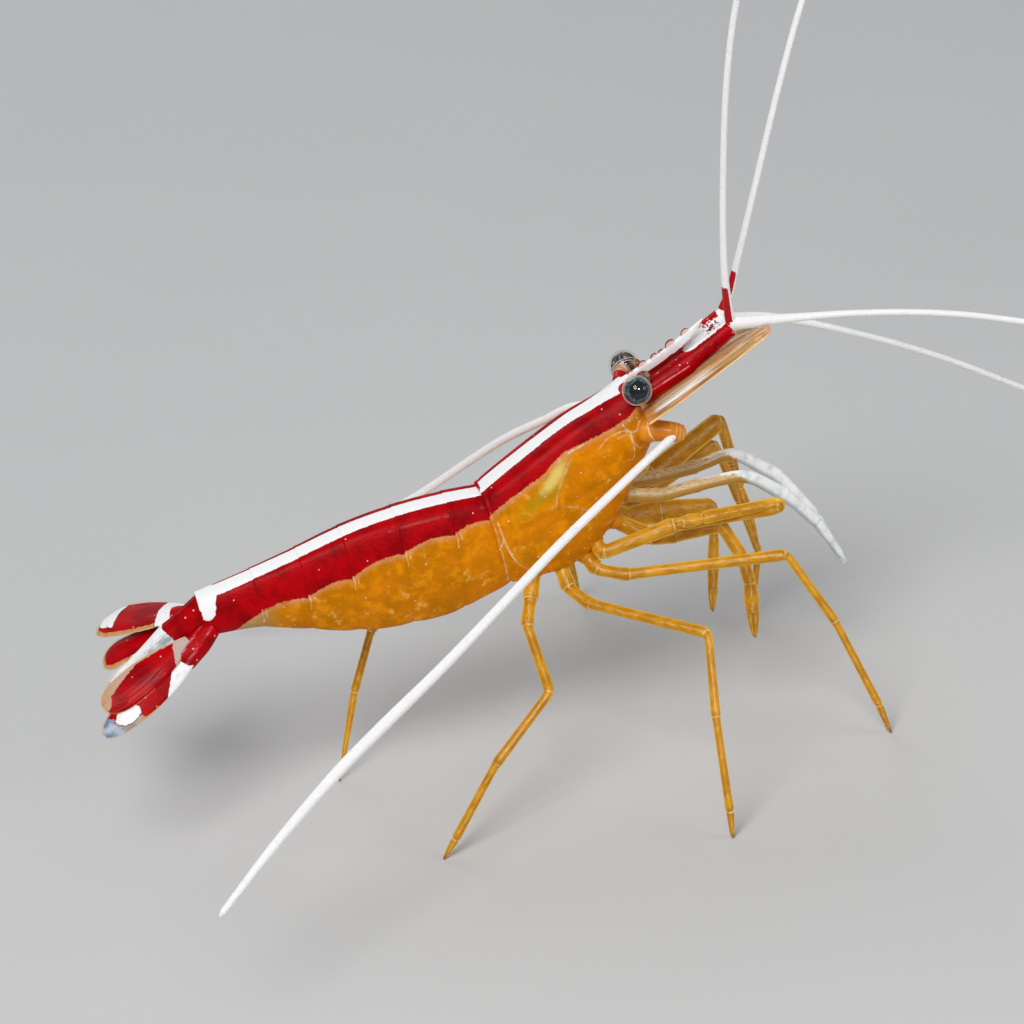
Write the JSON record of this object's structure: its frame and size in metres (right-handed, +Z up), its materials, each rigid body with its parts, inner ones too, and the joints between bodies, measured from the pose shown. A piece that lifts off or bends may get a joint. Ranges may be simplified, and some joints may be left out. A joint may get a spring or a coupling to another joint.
{
  "type": "shrimp model",
  "caption": "Life-size still model of a cleaner shrimp: white-striped red and orange body, long white feelers, slender jointed legs and a spread tail fan.",
  "frame": {"origin": "middle of the whole model's footprint, at floor level (bottom centre of its bounding box)", "axes": "+X towards the head, +Y towards the animal's left, +Z up; the walking legs' toes stand on z = 0"},
  "size_m": [0.0978, 0.0626, 0.0829],
  "materials": {
    "shell_red": "glossy wet-looking shell, red with a white stripe and an orange flank",
    "carapace_shell": "glossy shell, red above with a white stripe, orange and slightly see-through below",
    "white_shell": "glossy opaque white",
    "eye": "wet dark blue eye with a pale ring under a clear front",
    "eyestalk": "smooth tan, slightly see-through",
    "limb": "smooth yellow-olive, slightly see-through",
    "mouth_limb": "smooth bluish white with fine bristles",
    "flagellum": "finely ringed white",
    "flagellum_red": "finely ringed white with a red foot",
    "scale_blade": "thin ribbed tan blade, slightly see-through",
    "fan_blade": "red blade with white patches and a ribbed see-through rim",
    "swimmeret": "pale yellow-olive, slightly see-through"
  },
  "bodies": {
    "root": {"carapace": "carapace_shell", "rostrum": "white_shell", "somite_1": "shell_red", "somite_2": "shell_red", "somite_3": "shell_red", "somite_4": "shell_red", "somite_5": "shell_red", "somite_6": "shell_red", "pleopod_1_right": "swimmeret", "pleopod_1_left": "swimmeret", "pleopod_2_right": "swimmeret", "pleopod_2_left": "swimmeret", "pleopod_3_right": "swimmeret", "pleopod_3_left": "swimmeret", "pleopod_4_right": "swimmeret", "pleopod_4_left": "swimmeret", "pleopod_5_right": "swimmeret", "pleopod_5_left": "swimmeret", "telson": "white_shell", "uropod_protopod_right": "shell_red", "uropod_exopod_right": "fan_blade", "uropod_endopod_right": "fan_blade", "eye_right": "eye", "eyestalk_right": "eyestalk", "antennular_peduncle_right": "shell_red", "antennule_upper_right": "flagellum_red", "antennule_lower_right": "flagellum", "antennal_base_right": "carapace_shell", "antennal_scale_right": "scale_blade", "antenna_right": "flagellum", "leg_1_right": "limb", "leg_2_right": "limb", "leg_3_right": "limb", "leg_4_right": "limb", "leg_5_right": "limb", "maxilliped_3_right": "mouth_limb", "maxilliped_2_right": "limb", "uropod_protopod_left": "shell_red", "uropod_exopod_left": "fan_blade", "uropod_endopod_left": "fan_blade", "eye_left": "eye", "eyestalk_left": "eyestalk", "antennular_peduncle_left": "shell_red", "antennule_upper_left": "flagellum_red", "antennule_lower_left": "flagellum", "antennal_base_left": "carapace_shell", "antennal_scale_left": "scale_blade", "antenna_left": "flagellum", "leg_1_left": "limb", "leg_2_left": "limb", "leg_3_left": "limb", "leg_4_left": "limb", "leg_5_left": "limb", "maxilliped_3_left": "mouth_limb", "maxilliped_2_left": "limb"}
  },
  "joints": []
}
